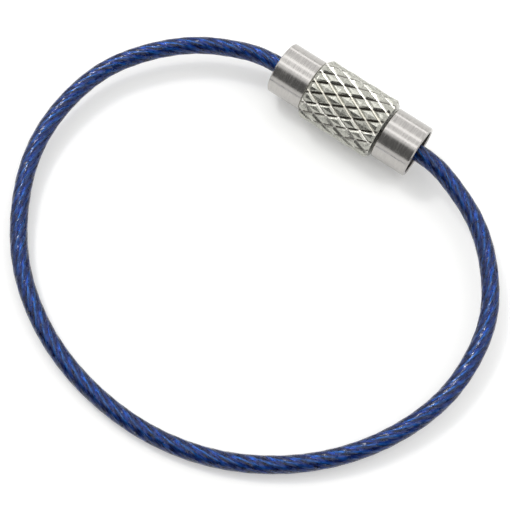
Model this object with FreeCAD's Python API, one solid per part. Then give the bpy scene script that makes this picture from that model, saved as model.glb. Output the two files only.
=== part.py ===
import FreeCAD, Part
import math
import os

# Cable key ring with a screw clasp, in millimetres.
# The ring lies on a table at z = 0. The clasp's axis runs along X, and the loop reaches out along -Y.
# The stud end is at -X, and the swivel end at +X.

# Driving dimensions of the knurled sleeve
sleeve_diameter = 6.7
sleeve_length = 8.5
sleeve_chamfer = 0.35
swivel_wall = 1.5
bore_lead_in = 0.25

# Driving dimensions of the diamond knurl
knurl_starts = 16
knurl_axial_pitch = 2.55
knurl_groove_depth = 0.27
knurl_groove_width = 0.48
knurl_crown = 0.05

# Driving dimensions of the screw thread, drawn plain at its outer diameter
thread_diameter = 2.95
thread_pitch = 0.5
stud_reach = 4.2
stud_tail_diameter = 2.0
stud_tip_chamfer = 0.35
relief_depth = 0.35
relief_turns = 2

# Driving dimensions of the swivel pin
pin_diameter = 1.6
pin_head_diameter = 2.4
pin_head_thickness = 0.8
pin_head_chamfer = 0.12

# Driving dimensions of the two ferrules
ferrule_diameter = 5.6
ferrule_length = 4.0
ferrule_wall = 0.36
ferrule_end_wall = 0.8
ferrule_outer_chamfer = 0.12
ferrule_mouth_chamfer = 0.1

# Driving dimensions of the two cable collars
collar_flange_thickness = 0.8
collar_hub_diameter = 3.2
collar_recess = 1.0
crimp_sides = 6
crimp_across_flats = 2.9
crimp_length = 0.8
tail_past_flange = 0.1
rope_end_gap = 0.05

# Driving dimensions of the coated cable
jacket_diameter = 1.8
rope_diameter = 1.4

# Clearances
thread_clearance = 0.05
pin_clearance = 0.05
swivel_gap = 0.2
stud_gap = 0.05
fixed_clearance = 0.02
jacket_clearance = 0.05
floor_clearance = 0.02

# Loop of the cable, from the swivel end round to the stud end, as x and y of the route's corners
loop_route = [
    (9.9, 0.0),
    (12.5, -0.65),
    (17.3, -2.8),
    (21.0, -6.3),
    (23.8, -10.9),
    (24.5, -17.2),
    (23.4, -22.4),
    (20.6, -27.8),
    (16.5, -32.4),
    (11.2, -36.0),
    (5.5, -38.1),
    (-0.5, -38.8),
    (-6.9, -38.1),
    (-12.7, -36.1),
    (-18.0, -32.6),
    (-21.7, -28.1),
    (-24.4, -22.6),
    (-25.1, -17.0),
    (-24.0, -10.9),
    (-21.0, -6.3),
    (-17.2, -2.8),
    (-12.9, -0.75),
    (-10.0, 0.0),
]
arc_share = 0.45
swivel_half_corner_count = 12

# Sizes worked out from the driving dimensions
axis_height = sleeve_diameter / 2
sleeve_face = sleeve_length / 2
sleeve_bore_radius = thread_diameter / 2 + thread_clearance
swivel_ferrule_face = sleeve_face + swivel_gap
stud_ferrule_face = sleeve_face + stud_gap
ferrule_bore_radius = ferrule_diameter / 2 - ferrule_wall
jacket_bore_radius = rope_diameter / 2 + jacket_clearance
collar_length = ferrule_length - ferrule_end_wall - collar_recess
loop_depth = -min(y for x, y in loop_route)
loop_drop = (axis_height - jacket_diameter / 2 - floor_clearance) / loop_depth


def turned(outline):
    """Solid of revolution about the clasp's axis from (x, radius) corners."""
    corners = [FreeCAD.Vector(x, radius, 0) for x, radius in outline]
    face = Part.Face(Part.makePolygon(corners + corners[:1]))
    return face.revolve(FreeCAD.Vector(0, 0, 0), FreeCAD.Vector(1, 0, 0), 360)


def placed(shape, mirrored=False):
    """Shape lifted from the origin to the clasp's axis, and turned end for end for the stud side."""
    if mirrored:
        shape = shape.mirror(FreeCAD.Vector(0, 0, 0), FreeCAD.Vector(1, 0, 0))
    moved = shape.copy()
    moved.translate(FreeCAD.Vector(0, 0, axis_height))
    return moved


def export(node, shape):
    """Writes one node, after a check that it is sound."""
    if not shape.isValid() or shape.Volume <= 0:
        raise ValueError(node + " is not a sound solid")
    shape.exportStep(os.path.join("parts", node + ".step"))
    print("%-28s %d solid(s) %9.3f mm3" % (node, len(shape.Solids), shape.Volume))


def lattice_point(column, row, radius):
    """Point of the knurl's lattice: columns run along the axis, and rows run round it."""
    angle = math.pi * row / knurl_starts
    x = column * knurl_axial_pitch / 2
    return FreeCAD.Vector(x, radius * math.cos(angle), radius * math.sin(angle))


def triangle(a, b, c):
    """Flat three-sided face."""
    return Part.Face(Part.makePolygon([a, b, c, a]))


def knurl_diamond(column, row):
    """Faces of one diamond: four groove walls that rise to a low crowned top."""
    outer_radius = sleeve_diameter / 2
    half_length = knurl_axial_pitch / 2
    half_width = math.pi * outer_radius / knurl_starts
    edge_distance = half_length * half_width / math.hypot(half_length, half_width)
    top_share = 1 - knurl_groove_width / 2 / edge_distance
    steps = [(1, 0), (0, 1), (-1, 0), (0, -1)]
    low = [
        lattice_point(column + dx, row + dr, outer_radius - knurl_groove_depth)
        for dx, dr in steps
    ]
    high = [
        lattice_point(column + dx * top_share, row + dr * top_share, outer_radius - knurl_crown)
        for dx, dr in steps
    ]
    crown = lattice_point(column, row, outer_radius)
    faces = []
    for this in range(4):
        after = (this + 1) % 4
        faces.append(triangle(low[this], low[after], high[after]))
        faces.append(triangle(low[this], high[after], high[this]))
        faces.append(triangle(high[this], high[after], crown))
    return faces


def knurled_bar():
    """Solid bar with a diamond knurl, longer than the sleeve, with ragged ends that are trimmed later."""
    last = math.ceil(sleeve_length / knurl_axial_pitch)
    faces = []
    for column in range(-last, last + 1):
        for row in range(2 * knurl_starts):
            if (column + row) % 2:
                faces.extend(knurl_diamond(column, row))
    groove_radius = sleeve_diameter / 2 - knurl_groove_depth
    for side in (-1, 1):
        hub = lattice_point(side * (last + 1), 0, 0)
        for row in range(2 * knurl_starts):
            ends = []
            for step in (row, row + 1):
                column = last + (last + step) % 2
                ends.append(lattice_point(side * column, step, groove_radius))
            faces.append(triangle(ends[0], ends[1], hub))
    shell = Part.makeShell(faces)
    shell.sewShape()
    bar = Part.makeSolid(shell)
    if bar.Volume < 0:
        bar.reverse()
    return bar


def knurled_sleeve():
    """Knurled nut: threaded bore from the stud side, and a pin hole in the wall at the swivel side."""
    outer = sleeve_diameter / 2 + knurl_crown
    neck = sleeve_diameter / 2 - sleeve_chamfer
    slope_end = sleeve_face - sleeve_chamfer - knurl_crown
    envelope = turned([
        (-sleeve_face, 0),
        (-sleeve_face, neck),
        (-slope_end, outer),
        (slope_end, outer),
        (sleeve_face, neck),
        (sleeve_face, 0),
    ])
    shoulder = sleeve_face - swivel_wall
    pin_hole = pin_diameter / 2 + pin_clearance
    bore = turned([
        (-sleeve_face - bore_lead_in, 0),
        (-sleeve_face - bore_lead_in, sleeve_bore_radius + 2 * bore_lead_in),
        (-sleeve_face + bore_lead_in, sleeve_bore_radius),
        (shoulder, sleeve_bore_radius),
        (shoulder, pin_hole),
        (sleeve_face + swivel_gap, pin_hole),
        (sleeve_face + swivel_gap, 0),
    ])
    return knurled_bar().common(envelope).cut(bore)


def ferrule(inner_face, tail_diameter):
    """Thin cup with its closed end against the sleeve and its open mouth round the cable."""
    mouth = inner_face + ferrule_length
    outer = ferrule_diameter / 2
    hole = tail_diameter / 2 + fixed_clearance
    return turned([
        (inner_face, hole),
        (inner_face, outer - ferrule_outer_chamfer),
        (inner_face + ferrule_outer_chamfer, outer),
        (mouth - ferrule_outer_chamfer, outer),
        (mouth, outer - ferrule_outer_chamfer),
        (mouth, ferrule_bore_radius + ferrule_mouth_chamfer),
        (mouth - ferrule_mouth_chamfer, ferrule_bore_radius),
        (inner_face + ferrule_end_wall, ferrule_bore_radius),
        (inner_face + ferrule_end_wall, hole),
    ])


def cable_collar(inner_face, tail_diameter):
    """Flanged collar in the ferrule, with a six-sided crimp on the bare rope and a hole for the tail."""
    back = inner_face + ferrule_end_wall
    flange_end = back + collar_flange_thickness
    front = back + collar_length
    flange = ferrule_bore_radius - fixed_clearance
    hub = collar_hub_diameter / 2
    tail_hole = tail_diameter / 2 + fixed_clearance
    rope_hole = rope_diameter / 2 + fixed_clearance
    tail_end = flange_end + tail_past_flange
    body = turned([
        (back, tail_hole),
        (back, flange),
        (flange_end, flange),
        (flange_end, hub),
        (front, hub),
        (front, rope_hole),
        (tail_end, rope_hole),
        (tail_end, tail_hole),
    ])
    crimp_middle = (flange_end + front) / 2
    crimp_start = FreeCAD.Vector(crimp_middle - crimp_length / 2, 0, 0)
    corner_radius = crimp_across_flats / 2 / math.cos(math.pi / crimp_sides)
    corners = []
    for side in range(crimp_sides + 1):
        angle = 2 * math.pi * side / crimp_sides
        across = FreeCAD.Vector(0, corner_radius * math.cos(angle), corner_radius * math.sin(angle))
        corners.append(crimp_start + across)
    pressed = Part.Face(Part.makePolygon(corners)).extrude(FreeCAD.Vector(crimp_length, 0, 0))
    ring = Part.makeCylinder(collar_hub_diameter, crimp_length, crimp_start, FreeCAD.Vector(1, 0, 0))
    return body.cut(ring.cut(pressed))


def threaded_stud():
    """Stud that screws into the sleeve, drawn on the +X side and mirrored later."""
    outer = thread_diameter / 2
    tail = stud_tail_diameter / 2
    tip = sleeve_face - stud_reach
    relief_start = stud_ferrule_face - relief_turns * thread_pitch
    tail_end = stud_ferrule_face + ferrule_end_wall + collar_flange_thickness
    return turned([
        (tip, 0),
        (tip, outer - stud_tip_chamfer),
        (tip + stud_tip_chamfer, outer),
        (relief_start, outer),
        (relief_start + relief_depth, outer - relief_depth),
        (stud_ferrule_face, outer - relief_depth),
        (stud_ferrule_face, tail),
        (tail_end, tail),
        (tail_end, 0),
    ])


def swivel_pin():
    """Headed pin that holds the sleeve to the swivel ferrule and lets it turn."""
    head_seat = sleeve_face - swivel_wall - swivel_gap
    head_face = head_seat - pin_head_thickness
    head = pin_head_diameter / 2
    tail_end = swivel_ferrule_face + ferrule_end_wall + collar_flange_thickness
    return turned([
        (head_face, 0),
        (head_face, head - pin_head_chamfer),
        (head_face + pin_head_chamfer, head),
        (head_seat, head),
        (head_seat, pin_diameter / 2),
        (tail_end, pin_diameter / 2),
        (tail_end, 0),
    ])


def loop_point(x, y):
    """Place of a route corner: the stiff loop slopes evenly from the clasp's axis down to the table."""
    return FreeCAD.Vector(x, y, axis_height + y * loop_drop)


def route_wire(start, corners):
    """Straight runs joined by tangent arcs, as large as their runs allow, from a start in line with the first."""
    edges = []
    radii = []
    last_end = start
    for before, corner, after in zip(corners, corners[1:], corners[2:]):
        back = before.sub(corner)
        ahead = after.sub(corner)
        reach = arc_share * min(back.Length, ahead.Length)
        back.normalize()
        ahead.normalize()
        half_turn = (math.pi - back.getAngle(ahead)) / 2
        radius = reach / math.tan(half_turn)
        start = corner + back * reach
        end = corner + ahead * reach
        inward = back + ahead
        inward.normalize()
        middle = corner + inward * (radius / math.cos(half_turn) - radius)
        edges.append(Part.LineSegment(last_end, start).toShape())
        edges.append(Part.Arc(start, middle, end).toShape())
        radii.append(round(radius, 1))
        last_end = end
    edges.append(Part.LineSegment(last_end, corners[-1]).toShape())
    print("bend radii", radii)
    return Part.Wire(edges)


def rod(start, corners, radius):
    """Round rod along the route, with its volume compared with its section times its length."""
    wire = route_wire(start, corners)
    direction = corners[1].sub(start)
    section = Part.Wire(Part.makeCircle(radius, start, direction))
    swept = wire.makePipeShell([section], True, False)
    expected = math.pi * radius ** 2 * wire.Length
    print("rod length %.2f mm, volume share %.5f" % (wire.Length, swept.Volume / expected))
    return swept


def cable_half(corners, rope_start):
    """Coat and rope of one half of the cable. The rope runs on into the collar, and the coat stops at it."""
    coat = rod(corners[0], corners, jacket_diameter / 2)
    jacket = coat.cut(rod(corners[0], corners, jacket_bore_radius))
    rope = rod(rope_start, corners, rope_diameter / 2)
    return jacket, rope


def cable():
    """The cable's two halves, split in the middle of one run at the far side of the loop."""
    corners = [loop_point(x, y) for x, y in loop_route]
    split = (corners[swivel_half_corner_count - 1] + corners[swivel_half_corner_count]) * 0.5
    halves = []
    sides = (
        (1, swivel_ferrule_face, corners[:swivel_half_corner_count]),
        (-1, stud_ferrule_face, corners[:swivel_half_corner_count - 1:-1]),
    )
    for side, inner_face, half_route in sides:
        collar_front = inner_face + ferrule_end_wall + collar_length
        rope_end = inner_face + ferrule_end_wall + collar_flange_thickness + tail_past_flange + rope_end_gap
        jacket_start = loop_point(side * (collar_front + fixed_clearance), 0)
        rope_start = loop_point(side * rope_end, 0)
        halves.append(cable_half([jacket_start] + half_route + [split], rope_start))
    return halves


def main():
    os.makedirs("parts", exist_ok=True)
    (swivel_jacket, swivel_rope), (stud_jacket, stud_rope) = cable()
    export("knurled_sleeve", placed(knurled_sleeve()))
    export("swivel_ferrule", placed(ferrule(swivel_ferrule_face, pin_diameter)))
    export("swivel_pin", placed(swivel_pin()))
    export("swivel_cable_collar", placed(cable_collar(swivel_ferrule_face, pin_diameter)))
    export("stud_ferrule", placed(ferrule(stud_ferrule_face, stud_tail_diameter), mirrored=True))
    export("threaded_stud", placed(threaded_stud(), mirrored=True))
    export("stud_cable_collar", placed(cable_collar(stud_ferrule_face, stud_tail_diameter), mirrored=True))
    export("cable_jacket_swivel_half", swivel_jacket)
    export("cable_jacket_stud_half", stud_jacket)
    export("wire_rope_swivel_half", swivel_rope)
    export("wire_rope_stud_half", stud_rope)


main()
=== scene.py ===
import math
import bpy
from mathutils import Matrix, Vector


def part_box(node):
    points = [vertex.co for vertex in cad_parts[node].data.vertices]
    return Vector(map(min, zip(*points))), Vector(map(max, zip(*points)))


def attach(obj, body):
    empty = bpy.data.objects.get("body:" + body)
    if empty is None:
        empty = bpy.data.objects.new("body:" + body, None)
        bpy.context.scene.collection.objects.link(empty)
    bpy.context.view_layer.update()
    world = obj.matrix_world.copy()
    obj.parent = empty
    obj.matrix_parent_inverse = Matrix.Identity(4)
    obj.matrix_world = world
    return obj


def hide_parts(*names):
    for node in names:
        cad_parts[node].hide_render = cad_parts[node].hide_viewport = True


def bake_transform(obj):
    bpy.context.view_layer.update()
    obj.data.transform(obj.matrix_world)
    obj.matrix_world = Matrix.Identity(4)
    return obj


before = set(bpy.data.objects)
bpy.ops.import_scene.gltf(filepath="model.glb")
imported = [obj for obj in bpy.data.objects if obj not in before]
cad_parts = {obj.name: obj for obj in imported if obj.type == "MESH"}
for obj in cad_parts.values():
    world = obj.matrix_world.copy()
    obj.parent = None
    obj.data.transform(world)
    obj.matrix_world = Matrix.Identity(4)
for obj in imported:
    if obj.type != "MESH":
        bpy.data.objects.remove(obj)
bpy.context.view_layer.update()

MM = 0.001
AXIS_UP = Vector((0, 0, 1))

# Clasp
sleeve_low, sleeve_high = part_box("knurled_sleeve")
AXIS_HEIGHT = (sleeve_low[2] + sleeve_high[2]) / 2
KNURL_STARTS = 16
KNURL_PITCH = 2.55 * MM
KNURL_SPACING = 1.17 * MM
KNURL_GROOVE_WIDTH = 0.48 * MM
KNURL_DEPTH = 0.27 * MM
SLEEVE_CHAMFER = 0.35 * MM

# Coated cable
JACKET_DIAMETER = 1.8 * MM
ROPE_DIAMETER = 1.4 * MM
ROPE_LAY = 11.7 * MM
OUTER_STRANDS = 6
STRAND_GROOVE = 0.14 * MM
COAT_RIPPLE = 0.024 * MM
COAT_SIDES = 48
ROPE_SIDES = 72
CABLE_STEP = 0.30 * MM
ROPE_START_X = 6.30 * MM
ROPE_END_X = -6.05 * MM

# Corners of the cable's route in millimetres, from the swivel end round to the stud end
JACKET_START = (7.47, 0.0)
JACKET_END = (-7.32, 0.0)
LOOP_ROUTE = [
    (9.9, 0.0),
    (12.5, -0.65),
    (17.3, -2.8),
    (21.0, -6.3),
    (23.8, -10.9),
    (24.5, -17.2),
    (23.4, -22.4),
    (20.6, -27.8),
    (16.5, -32.4),
    (11.2, -36.0),
    (5.5, -38.1),
    (-0.5, -38.8),
    (-6.9, -38.1),
    (-12.7, -36.1),
    (-18.0, -32.6),
    (-21.7, -28.1),
    (-24.4, -22.6),
    (-25.1, -17.0),
    (-24.0, -10.9),
    (-21.0, -6.3),
    (-17.2, -2.8),
    (-12.9, -0.75),
    (-10.0, 0.0),
]
ROUTE_RESOLUTION = 24
LOOP_DEPTH = -min(y for x, y in LOOP_ROUTE)
FLOOR_GAP = 0.02 * MM
# How far the cable sinks for each step away from the clasp, so that its far side lies just above the floor
LOOP_DROP = (AXIS_HEIGHT - JACKET_DIAMETER / 2 - FLOOR_GAP) / MM / LOOP_DEPTH

# Screw thread
THREAD_PITCH = 0.5 * MM
THREAD_RADIUS = 1.475 * MM
THREAD_DEPTH = 0.27 * MM
THREAD_GAP = 0.05 * MM
THREAD_FLAT = 0.125
THREAD_SIDES = 48
RINGS_PER_TURN = 16
STUD_TIP_X = -0.05 * MM
STUD_TIP_CHAMFER = 0.35 * MM
STUD_RUNOUT_SLOPE = 2
STUD_RELIEF_X = -3.3 * MM
STUD_NECK_X = -3.65 * MM
STUD_FACE_X = -4.3 * MM
STUD_TAIL_END_X = -5.9 * MM
STUD_TAIL_RADIUS = 1.0 * MM
STUD_NECK_RADIUS = 1.125 * MM
NUT_MOUTH_X = -4.0 * MM
NUT_END_X = 0.8 * MM
NUT_OUTER_RADIUS = 1.535 * MM

# Parts of the noise over which a colour, or a roughness, goes from low to high
COLOUR_SPREAD = (0.35, 0.65)
WIDE_SPREAD = (0.3, 0.7)

# Coat: noise cells are per millimetre, along the axes, or along and round the cable for its waves
COAT_COLOURS = ((0.13, 0.42, 0.64), (0.27, 0.68, 0.88))
COAT_CLOUD_CELLS = (0.9, 0.9, 0.9)
COAT_GRAIN_CELLS = (6, 6, 6)
COAT_ROUGHNESS = (0.12, 0.20)
COAT_WAVE_CELLS = (0.8, 2.4, 1)
COAT_WAVE_DETAIL = 1.0
COAT_WAVE_HEIGHT = 0.11 * MM
COAT_IOR = 1.42
COAT_SHADOW = (0.45, 0.70, 0.90)
COAT_DEPTH_COLOUR = (0.0, 0.47, 0.75)
COAT_DENSITY = 9600

# Metals
NOISE_DETAIL = 3.0
MARK_HEIGHT = 0.01 * MM
ROPE_FINISH = {
    "colours": ((0.22, 0.23, 0.25), (0.84, 0.87, 0.90)),
    "roughness": (0.22, 0.40),
    "cells": (1.6, 5, 1),
    "marks": 1.0,
    "along": True,
}
FERRULE_FINISH = {
    "colours": ((0.42, 0.405, 0.39), (0.49, 0.475, 0.455)),
    "roughness": (0.14, 0.26),
    "cells": (10, 0.8, 0.8),
    "marks": 0.35,
}
STEEL_FINISH = {
    "colours": ((0.38, 0.38, 0.37), (0.48, 0.48, 0.47)),
    "roughness": (0.22, 0.38),
    "cells": (12, 0.6, 0.6),
    "marks": 0.4,
}
CRIMP_FINISH = {
    "colours": ((0.16, 0.15, 0.15), (0.27, 0.26, 0.26)),
    "roughness": (0.45, 0.65),
    "cells": (4, 4, 4),
    "marks": 0.8,
}
KNURL_COLOURS = ((0.36, 0.36, 0.32), (0.52, 0.52, 0.47))
KNURL_ROUGHNESS = (0.20, 0.34)
KNURL_CELLS = (5, 5, 5)
KNURL_MARKS = 0.6
KNURL_MARK_HEIGHT = 0.012 * MM
# Painted shade: dark grey laid into the bottoms of one set of knurl grooves, with the edges of that band
KNURL_PAINTED_SHADE = (0.12, 0.11, 0.10)
KNURL_PAINTED_SHADE_EDGE = (0.15, 0.7)
# Painted highlight: near white laid into the bottoms of the other set of knurl grooves, with the edges of
# that band
KNURL_PAINTED_HIGHLIGHT = (0.92, 0.90, 0.84)
KNURL_PAINTED_HIGHLIGHT_EDGE = (0.2, 0.5)

# Stage
BACKDROP_RADIUS = 1.0
BACKDROP_HEIGHT = 0.25
BACKDROP_FLAT = 0.6
BACKDROP_SIDES = 96
BACKDROP_RINGS = 12
BACKDROP_COLOUR = (0.80, 0.80, 0.79)
BACKDROP_ROUGHNESS = 0.9
BACKDROP_GLOW = 0.22

# Light
LAMP_DISTANCE = 0.5
LAMP_LENGTH = 1.2
# Each long lamp: degrees over towards +Y, width and level
STRIP_LAMPS = {
    "strip_front": (-7, 0.08, 1.1),
    "strip_top": (25, 0.11, 0.95),
    "strip_back": (77, 0.08, 1.5),
}
SOFTBOX_WAY = Vector((-0.52, 0.12, 0.845))
# Each square lamp: size, distance and level
SQUARE_LAMPS = {
    "softbox": (0.12, 0.5, 10),
    "glint": (0.025, 0.45, 60),
}
WORLD_LEVEL = 1.1
DARK_LEVEL = 0.16
DARK_MIDDLE = Vector((0.349, -0.937, 0.0))
# Degrees from the middle of the dark at which the world starts to darken, and at which it is dark
DARK_EDGE_DEGREES = (73, 67)

# Camera
PHOTO_SIDE = 510
PHOTO_FOCAL = 1200
SENSOR_WIDTH = 36
CAMERA_PLACE = Vector((19.494, -45.402, 117.837)) * MM
CAMERA_ELEVATION = math.radians(74)
CAMERA_AZIMUTH = math.radians(34.5)
CLIP_START = 0.001
CLIP_END = 10


def mesh_object(name, points, faces, smooth=True):
    """New object in the scene with a mesh of the points and faces."""
    mesh = bpy.data.meshes.new(name)
    mesh.from_pydata([tuple(p) for p in points], [], faces)
    mesh.validate()
    mesh.polygons.foreach_set("use_smooth", [smooth] * len(mesh.polygons))
    mesh.update()
    piece = bpy.data.objects.new(name, mesh)
    bpy.context.scene.collection.objects.link(piece)
    return piece


# Cable
def route_point(x, y):
    """Point of the route in metres, from its place in millimetres seen from above."""
    return Vector((x * MM, y * MM, AXIS_HEIGHT + y * LOOP_DROP * MM))


def cable_line():
    """Points along the cable's smooth line, read from a NURBS spline with the route's corners."""
    curve = bpy.data.curves.new("cable_route", "CURVE")
    curve.dimensions = "3D"
    curve.resolution_u = ROUTE_RESOLUTION
    spline = curve.splines.new("NURBS")
    corners = [route_point(*c) for c in [JACKET_START] + LOOP_ROUTE + [JACKET_END]]
    spline.points.add(len(corners) - 1)
    for point, corner in zip(spline.points, corners):
        point.co = (*corner, 1)
    spline.order_u = 3
    spline.use_endpoint_u = True
    carrier = bpy.data.objects.new("cable_route", curve)
    bpy.context.scene.collection.objects.link(carrier)
    bpy.context.view_layer.update()
    mesh = bpy.data.meshes.new_from_object(carrier)
    line = [v.co.copy() for v in mesh.vertices]
    bpy.data.objects.remove(carrier)
    bpy.data.curves.remove(curve)
    bpy.data.meshes.remove(mesh)
    return line


def evenly(line, step):
    """The line again with points about step apart, as (points, distance between them)."""
    lengths = [0.0]
    for a, b in zip(line, line[1:]):
        lengths.append(lengths[-1] + (b - a).length)
    count = max(2, round(lengths[-1] / step))
    spacing = lengths[-1] / count
    points = []
    k = 0
    for n in range(count + 1):
        wanted = min(n * spacing, lengths[-1])
        while k < len(lengths) - 2 and lengths[k + 1] < wanted:
            k += 1
        share = (wanted - lengths[k]) / (lengths[k + 1] - lengths[k])
        points.append(line[k].lerp(line[k + 1], share))
    return points, spacing


def frames_along(points):
    """Direction at each point, and two square directions across it, the first of them downward."""
    frames = []
    across = -AXIS_UP
    for n in range(len(points)):
        ahead = (points[min(n + 1, len(points) - 1)] - points[max(n - 1, 0)]).normalized()
        across = (across - ahead * across.dot(ahead)).normalized()
        frames.append((ahead, across, ahead.cross(across)))
    return frames


def tube(name, points, spacing, radius_at, sides):
    """Closed tube along the points; radius_at gives the radius from (ring, angle).

    Its map is in millimetres, along and round, and winds with the strands. Its seam is underneath.
    """
    verts = []
    faces = []
    for ring, (point, (ahead, across, aside)) in enumerate(zip(points, frames_along(points))):
        for side in range(sides):
            angle = 2 * math.pi * side / sides
            radius = radius_at(ring, angle)
            verts.append(point + (across * math.cos(angle) + aside * math.sin(angle)) * radius)
    for ring in range(len(points) - 1):
        for side in range(sides):
            a = ring * sides + side
            b = ring * sides + (side + 1) % sides
            faces.append((a, b, b + sides, a + sides))
    faces.append(tuple(reversed(range(sides))))
    faces.append(tuple(range((len(points) - 1) * sides, len(points) * sides)))
    piece = mesh_object(name, verts, faces)
    around = 2 * math.pi * radius_at(0, 0) / sides
    layer = piece.data.uv_layers.new(name="along_and_round").data
    for face in piece.data.polygons:
        side = face.index % sides
        for corner, (step, turn) in zip(face.loop_indices, ((0, 0), (0, 1), (1, 1), (1, 0))):
            ring = face.index // sides + step
            wound = ring * spacing / ROPE_LAY * sides
            layer[corner].uv = (ring * spacing / MM, (side + turn - wound) * around / MM)
    return piece


def coat_radius(spacing):
    """Radius of the coat, which swells a little over each strand."""

    def radius_at(ring, angle):
        turn = 2 * math.pi * ring * spacing / ROPE_LAY
        return JACKET_DIAMETER / 2 - COAT_RIPPLE * (1 - math.cos(OUTER_STRANDS * (angle - turn))) / 2

    return radius_at


def rope_radius(spacing):
    """Radius of the rope: strands wound to the right."""

    def radius_at(ring, angle):
        turn = 2 * math.pi * ring * spacing / ROPE_LAY
        strand = abs(math.cos(OUTER_STRANDS * (angle - turn) / 2))
        return ROPE_DIAMETER / 2 - STRAND_GROOVE * (1 - strand)

    return radius_at


def build_cable():
    """Coat and rope of the whole loop. The rope runs on a little, straight into the two collars."""
    coat_line, coat_spacing = evenly(cable_line(), CABLE_STEP)
    coat = tube("cable_coat", coat_line, coat_spacing, coat_radius(coat_spacing), COAT_SIDES)
    collars = [Vector((x, 0, AXIS_HEIGHT)) for x in (ROPE_START_X, ROPE_END_X)]
    rope_line, spacing = evenly([collars[0]] + coat_line + [collars[1]], CABLE_STEP)
    rope = tube("wire_rope_strands", rope_line, spacing, rope_radius(spacing), ROPE_SIDES)
    for piece in (coat, rope):
        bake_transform(piece)
    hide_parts("cable_jacket_swivel_half", "cable_jacket_stud_half")
    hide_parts("wire_rope_swivel_half", "wire_rope_stud_half")
    return coat, rope


# Screw
def thread_rise(x, angle):
    """0 at a root and 1 at a crest of the right-hand thread, at x and at an angle round the X axis."""
    phase = (x / THREAD_PITCH - angle / (2 * math.pi)) % 1
    slope = 2 * abs(phase - 0.5)
    return min(1, max(0, (slope - THREAD_FLAT) / (1 - 2 * THREAD_FLAT)))


def lathe(rings, closed=False):
    """Surface about the clasp's axis from (x, radius_at) rings, with flat ends, or joined into a ring."""
    points = []
    faces = []
    sides = THREAD_SIDES
    for x, radius_at in rings:
        for side in range(sides):
            angle = 2 * math.pi * side / sides
            radius = radius_at(angle)
            points.append((x, radius * math.cos(angle), AXIS_HEIGHT + radius * math.sin(angle)))
    count = len(rings)
    for ring in range(count if closed else count - 1):
        after = (ring + 1) % count
        for side in range(sides):
            next_side = (side + 1) % sides
            faces.append((ring * sides + side, after * sides + side,
                          after * sides + next_side, ring * sides + next_side))
    if not closed:
        faces.append(tuple(range(sides)))
        faces.append(tuple(reversed(range((count - 1) * sides, count * sides))))
    return points, faces


def plain(radius):
    """The same radius all round."""
    return lambda angle: radius


def threaded(x, limit):
    """Radius round the screw at x, cut down to the limit at its ends."""
    return lambda angle: min(limit, THREAD_RADIUS - THREAD_DEPTH * (1 - thread_rise(x, angle)))


def bored(x, limit):
    """Radius round the nut's thread at x, opened up to the limit at its mouth."""
    outer = THREAD_RADIUS + THREAD_GAP
    return lambda angle: max(limit, outer - THREAD_DEPTH * (1 - thread_rise(x, angle)))


def build_stud():
    """Threaded stud with its relief groove and tail, from the tip back."""
    rings = [(STUD_TIP_X, plain(THREAD_RADIUS - STUD_TIP_CHAMFER))]
    step = THREAD_PITCH / RINGS_PER_TURN
    x = STUD_TIP_X
    while x > STUD_RELIEF_X:
        from_tip = STUD_TIP_X - x
        from_relief = x - STUD_RELIEF_X
        limit = min(THREAD_RADIUS, THREAD_RADIUS - STUD_TIP_CHAMFER + from_tip,
                    STUD_NECK_RADIUS + THREAD_GAP + from_relief * STUD_RUNOUT_SLOPE)
        rings.append((x - step / 2, threaded(x - step / 2, limit)))
        x -= step
    rings += [
        (STUD_RELIEF_X, plain(STUD_NECK_RADIUS + THREAD_GAP)),
        (STUD_NECK_X, plain(STUD_NECK_RADIUS)),
        (STUD_FACE_X, plain(STUD_NECK_RADIUS)),
        (STUD_FACE_X, plain(STUD_TAIL_RADIUS)),
        (STUD_TAIL_END_X, plain(STUD_TAIL_RADIUS)),
    ]
    stud = mesh_object("screw_stud", *lathe(rings), smooth=False)
    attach(stud, "stud_end")
    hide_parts("threaded_stud")
    return stud


def build_nut_thread():
    """Thread cut in the sleeve's bore, as a thin lining."""
    rings = [(NUT_END_X, plain(NUT_OUTER_RADIUS)), (NUT_MOUTH_X, plain(NUT_OUTER_RADIUS))]
    step = THREAD_PITCH / RINGS_PER_TURN
    outer = THREAD_RADIUS + THREAD_GAP
    x = NUT_MOUTH_X
    while x < NUT_END_X:
        rings.append((x, bored(x, max(outer - THREAD_DEPTH, outer - (x - NUT_MOUTH_X)))))
        x += step
    lining = mesh_object("sleeve_thread", *lathe(rings, closed=True), smooth=False)
    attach(lining, "sleeve")
    return lining


# Materials
def node_tree(name):
    """New material, as (material, nodes, links, its Principled shader)."""
    material = bpy.data.materials.new(name)
    material.use_nodes = True
    tree = material.node_tree
    return material, tree.nodes, tree.links, tree.nodes["Principled BSDF"]


def textured(nodes, links, cells, detail=NOISE_DETAIL, along=False):
    """Noise, as cells per millimetre along the frame's axes, or along and round a tube."""
    place = nodes.new("ShaderNodeTexCoord")
    mapping = nodes.new("ShaderNodeMapping")
    mapping.inputs["Scale"].default_value = cells if along else [v / MM for v in cells]
    noise = nodes.new("ShaderNodeTexNoise")
    noise.inputs["Scale"].default_value = 1
    noise.inputs["Detail"].default_value = detail
    links.new(place.outputs["UV" if along else "Object"], mapping.inputs["Vector"])
    links.new(mapping.outputs["Vector"], noise.inputs["Vector"])
    return noise.outputs["Fac"]


def ranged(nodes, links, value, low, high, to_low, to_high):
    """Value moved from one range to another, and held inside it."""
    node = nodes.new("ShaderNodeMapRange")
    for socket, number in zip(("From Min", "From Max", "To Min", "To Max"), (low, high, to_low, to_high)):
        node.inputs[socket].default_value = number
    links.new(value, node.inputs["Value"])
    return node.outputs["Result"]


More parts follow.
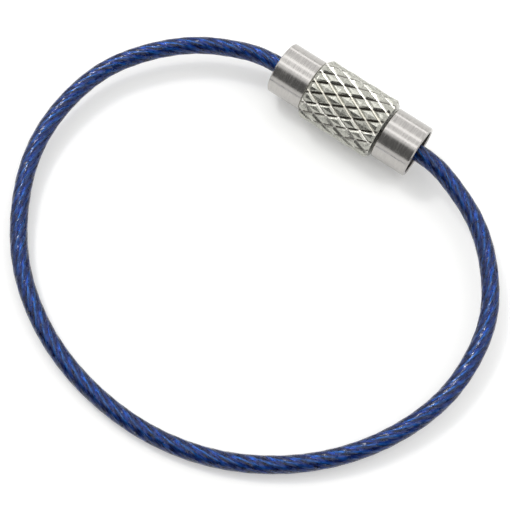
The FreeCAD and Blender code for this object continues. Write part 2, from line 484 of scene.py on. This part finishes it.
def blended(nodes, links, factor, first, second):
    """Colour between two, by factor; each is three numbers or a socket."""
    node = nodes.new("ShaderNodeMix")
    node.data_type = "RGBA"
    for socket, colour in (("A", first), ("B", second)):
        if isinstance(colour, tuple):
            node.inputs[socket].default_value = (*colour, 1)
        else:
            links.new(colour, node.inputs[socket])
    links.new(factor, node.inputs["Factor"])
    return node.outputs["Result"]


def rough_surface(nodes, links, shader, height, strength, distance):
    """Bump on the shader."""
    bump = nodes.new("ShaderNodeBump")
    bump.inputs["Strength"].default_value = strength
    bump.inputs["Distance"].default_value = distance
    links.new(height, bump.inputs["Height"])
    links.new(bump.outputs["Normal"], shader.inputs["Normal"])


def coat_material():
    """Glossy blue plastic that lets the strands show through, a little cloudy."""
    material, nodes, links, shader = node_tree("blue_coat")
    cloud = ranged(nodes, links, textured(nodes, links, COAT_CLOUD_CELLS), *COLOUR_SPREAD, 0, 1)
    links.new(blended(nodes, links, cloud, *COAT_COLOURS), shader.inputs["Base Color"])
    shader.inputs["Transmission Weight"].default_value = 1
    shader.inputs["IOR"].default_value = COAT_IOR
    grain = textured(nodes, links, COAT_GRAIN_CELLS)
    links.new(ranged(nodes, links, grain, *WIDE_SPREAD, *COAT_ROUGHNESS), shader.inputs["Roughness"])
    waves = textured(nodes, links, COAT_WAVE_CELLS, COAT_WAVE_DETAIL, along=True)
    rough_surface(nodes, links, shader, waves, 1.0, COAT_WAVE_HEIGHT)
    clear = nodes.new("ShaderNodeBsdfTransparent")
    clear.inputs["Color"].default_value = (*COAT_SHADOW, 1)
    path = nodes.new("ShaderNodeLightPath")
    mix = nodes.new("ShaderNodeMixShader")
    links.new(path.outputs["Is Shadow Ray"], mix.inputs["Fac"])
    links.new(shader.outputs["BSDF"], mix.inputs[1])
    links.new(clear.outputs["BSDF"], mix.inputs[2])
    links.new(mix.outputs["Shader"], nodes["Material Output"].inputs["Surface"])
    depth = nodes.new("ShaderNodeVolumeAbsorption")
    depth.inputs["Color"].default_value = (*COAT_DEPTH_COLOUR, 1)
    depth.inputs["Density"].default_value = COAT_DENSITY
    links.new(depth.outputs["Volume"], nodes["Material Output"].inputs["Volume"])
    return material


def metal_material(name, colours, roughness, cells, marks, along=False):
    """Metal with fine marks: colours and roughness are (low, high), and cells set the marks' direction."""
    material, nodes, links, shader = node_tree(name)
    shader.inputs["Metallic"].default_value = 1
    grain = textured(nodes, links, cells, along=along)
    factor = ranged(nodes, links, grain, *COLOUR_SPREAD, 0, 1)
    links.new(blended(nodes, links, factor, *colours), shader.inputs["Base Color"])
    links.new(ranged(nodes, links, grain, *WIDE_SPREAD, *roughness), shader.inputs["Roughness"])
    rough_surface(nodes, links, shader, grain, marks, MARK_HEIGHT)
    return material


def groove_share(nodes, links, turn_sign):
    """0 along the bottom of one set of knurl grooves, and 1 past its edges and on the flat ends.

    turn_sign picks the set.
    """
    place = nodes.new("ShaderNodeTexCoord")
    split = nodes.new("ShaderNodeSeparateXYZ")
    links.new(place.outputs["Object"], split.inputs["Vector"])

    def worked(operation, first, second):
        node = nodes.new("ShaderNodeMath")
        node.operation = operation
        for socket, value in zip(node.inputs, (first, second)):
            if isinstance(value, (int, float)):
                socket.default_value = value
            elif value is not None:
                links.new(value, socket)
        return node.outputs["Value"]

    height = worked("SUBTRACT", split.outputs["Z"], AXIS_HEIGHT)
    angle = worked("ARCTAN2", height, split.outputs["Y"])
    turned = worked("MULTIPLY", angle, turn_sign * KNURL_STARTS / (2 * math.pi))
    phase = worked("ADD", worked("MULTIPLY", split.outputs["X"], 1 / KNURL_PITCH), turned)
    nearest = worked("ABSOLUTE", worked("SUBTRACT", phase, worked("ROUND", phase, None)), None)
    share = worked("MINIMUM", worked("MULTIPLY", nearest, KNURL_SPACING / (KNURL_GROOVE_WIDTH / 2)), 1)
    squares = [worked("MULTIPLY", value, value) for value in (height, split.outputs["Y"])]
    radius = worked("SQRT", worked("ADD", *squares), None)
    inner = ranged(nodes, links, radius, AXIS_HEIGHT - SLEEVE_CHAMFER, AXIS_HEIGHT - KNURL_DEPTH, 1, 0)
    return worked("MAXIMUM", share, inner)


def knurl_material():
    """Plated knurl with painted light: one set of grooves gets a painted highlight, and the other a painted
    shade.
    """
    material, nodes, links, shader = node_tree("plated_sleeve")
    shader.inputs["Metallic"].default_value = 1
    grain = textured(nodes, links, KNURL_CELLS)
    top = blended(nodes, links, ranged(nodes, links, grain, *WIDE_SPREAD, 0, 1), *KNURL_COLOURS)
    # Painted shade: the bottoms of the grooves of one set are darkened
    away_from_painted_shade = ranged(nodes, links, groove_share(nodes, links, 1), *KNURL_PAINTED_SHADE_EDGE, 0, 1)
    with_painted_shade = blended(nodes, links, away_from_painted_shade, KNURL_PAINTED_SHADE, top)
    # Painted highlight: the bottoms of the grooves of the other set are lightened; dull is 1 away from them
    dull = ranged(nodes, links, groove_share(nodes, links, -1), *KNURL_PAINTED_HIGHLIGHT_EDGE, 0, 1)
    links.new(blended(nodes, links, dull, KNURL_PAINTED_HIGHLIGHT, with_painted_shade), shader.inputs["Base Color"])
    links.new(ranged(nodes, links, grain, *WIDE_SPREAD, *KNURL_ROUGHNESS), shader.inputs["Roughness"])
    rough_surface(nodes, links, shader, grain, KNURL_MARKS, KNURL_MARK_HEIGHT)
    return material


def add_materials(coat, rope, stud, nut_thread):
    """A finish for every piece and for every CAD node that stays in view."""
    coat.data.materials.append(coat_material())
    rope.data.materials.append(metal_material("rope_steel", **ROPE_FINISH))
    plated = metal_material("plated_ferrule", **FERRULE_FINISH)
    steel = metal_material("turned_steel", **STEEL_FINISH)
    dull = metal_material("crimp_steel", **CRIMP_FINISH)
    node_materials = {
        "knurled_sleeve": knurl_material(),
        "swivel_ferrule": plated,
        "stud_ferrule": plated,
        "swivel_pin": steel,
        "swivel_cable_collar": dull,
        "stud_cable_collar": dull,
    }
    for node, material in node_materials.items():
        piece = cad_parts[node]
        piece.data.materials.clear()
        piece.data.materials.append(material)
    stud.data.materials.append(steel)
    nut_thread.data.materials.append(steel)


# Stage and light
def seen_ray(nodes, links):
    """1 where a surface is looked at, also in a mirror or through glass, and 0 where it only gives light."""
    path = nodes.new("ShaderNodeLightPath")
    total = path.outputs["Is Camera Ray"]
    for ray in ("Is Glossy Ray", "Is Transmission Ray"):
        add = nodes.new("ShaderNodeMath")
        add.operation = "ADD"
        add.use_clamp = True
        links.new(total, add.inputs[0])
        links.new(path.outputs[ray], add.inputs[1])
        total = add.outputs["Value"]
    return total


def backdrop_material():
    """Pale matt paper, lifted to white where it is looked at, so that only the object's shadow is left."""
    material, nodes, links, shader = node_tree("backdrop")
    shader.inputs["Base Color"].default_value = (*BACKDROP_COLOUR, 1)
    shader.inputs["Roughness"].default_value = BACKDROP_ROUGHNESS
    shader.inputs["Specular IOR Level"].default_value = 0
    shader.inputs["Emission Color"].default_value = (1, 1, 1, 1)
    links.new(ranged(nodes, links, seen_ray(nodes, links), 0, 1, 0, BACKDROP_GLOW),
              shader.inputs["Emission Strength"])
    return material


def add_backdrop():
    """Round floor whose edge curves up into a low wall."""
    profile = [(BACKDROP_FLAT, 0)]
    for step in range(1, BACKDROP_RINGS + 1):
        angle = math.pi / 2 * step / BACKDROP_RINGS
        profile.append((BACKDROP_FLAT + (BACKDROP_RADIUS - BACKDROP_FLAT) * math.sin(angle),
                        BACKDROP_HEIGHT * (1 - math.cos(angle))))
    turns = [2 * math.pi * side / BACKDROP_SIDES for side in range(BACKDROP_SIDES)]
    corners = [(radius * math.cos(a), radius * math.sin(a), z) for radius, z in profile for a in turns]
    faces = [tuple(range(BACKDROP_SIDES))]
    for ring in range(BACKDROP_RINGS):
        for side in range(BACKDROP_SIDES):
            a = ring * BACKDROP_SIDES + side
            b = ring * BACKDROP_SIDES + (side + 1) % BACKDROP_SIDES
            faces.append((b, a, a + BACKDROP_SIDES, b + BACKDROP_SIDES))
    backdrop = mesh_object("backdrop", corners, faces)
    backdrop.data.materials.append(backdrop_material())


def strip_lamp(name, zenith, width, level):
    """Long soft lamp along X, zenith degrees over towards +Y, facing the clasp."""
    data = bpy.data.lights.new(name, "AREA")
    data.shape = "RECTANGLE"
    data.size = LAMP_LENGTH
    data.size_y = width
    data.energy = level * math.pi * LAMP_LENGTH * width
    lamp = bpy.data.objects.new(name, data)
    angle = math.radians(zenith)
    away = Vector((0, math.sin(angle), math.cos(angle)))
    lamp.location = away * LAMP_DISTANCE + Vector((0, 0, AXIS_HEIGHT))
    lamp.rotation_euler = (-angle, 0, 0)
    bpy.context.scene.collection.objects.link(lamp)


def square_lamp(name, size, distance, level):
    """Square lamp on the side away from the dark, facing the clasp."""
    data = bpy.data.lights.new(name, "AREA")
    data.size = size
    data.energy = level * math.pi * size ** 2
    lamp = bpy.data.objects.new(name, data)
    lamp.location = SOFTBOX_WAY * distance
    lamp.rotation_euler = SOFTBOX_WAY.to_track_quat("Z", "Y").to_euler()
    bpy.context.scene.collection.objects.link(lamp)


def add_world():
    """Even pale surroundings, dark on the loop's side, as an unlit room is."""
    world = bpy.data.worlds.new("studio")
    bpy.context.scene.world = world
    world.use_nodes = True
    nodes = world.node_tree.nodes
    links = world.node_tree.links
    background = nodes["Background"]
    place = nodes.new("ShaderNodeTexCoord")
    towards = nodes.new("ShaderNodeVectorMath")
    towards.operation = "DOT_PRODUCT"
    towards.inputs[1].default_value = DARK_MIDDLE
    links.new(place.outputs["Generated"], towards.inputs[0])
    edge = [math.cos(math.radians(degrees)) for degrees in DARK_EDGE_DEGREES]
    level = ranged(nodes, links, towards.outputs["Value"], *edge, WORLD_LEVEL, DARK_LEVEL)
    background.inputs["Color"].default_value = (1, 1, 1, 1)
    links.new(level, background.inputs["Strength"])


def add_camera():
    """Camera at the photograph's viewing angle, with the focal length that was fitted to it in pixels."""
    right = Vector((math.cos(CAMERA_AZIMUTH), math.sin(CAMERA_AZIMUTH), 0))
    back = Vector((
        math.sin(CAMERA_AZIMUTH) * math.cos(CAMERA_ELEVATION),
        -math.cos(CAMERA_AZIMUTH) * math.cos(CAMERA_ELEVATION),
        math.sin(CAMERA_ELEVATION),
    ))
    up = back.cross(right)
    data = bpy.data.cameras.new("camera")
    data.sensor_width = SENSOR_WIDTH
    data.lens = SENSOR_WIDTH * PHOTO_FOCAL / PHOTO_SIDE
    data.clip_start = CLIP_START
    data.clip_end = CLIP_END
    camera = bpy.data.objects.new("camera", data)
    camera.matrix_world = Matrix((right, up, back)).transposed().to_4x4()
    camera.location = CAMERA_PLACE
    bpy.context.scene.collection.objects.link(camera)
    bpy.context.scene.camera = camera


coat, rope = build_cable()
stud = build_stud()
nut_thread = build_nut_thread()
add_materials(coat, rope, stud, nut_thread)
add_backdrop()
add_world()
for name, values in STRIP_LAMPS.items():
    strip_lamp(name, *values)
for name, values in SQUARE_LAMPS.items():
    square_lamp(name, *values)
add_camera()
bpy.context.scene.view_settings.view_transform = "Standard"
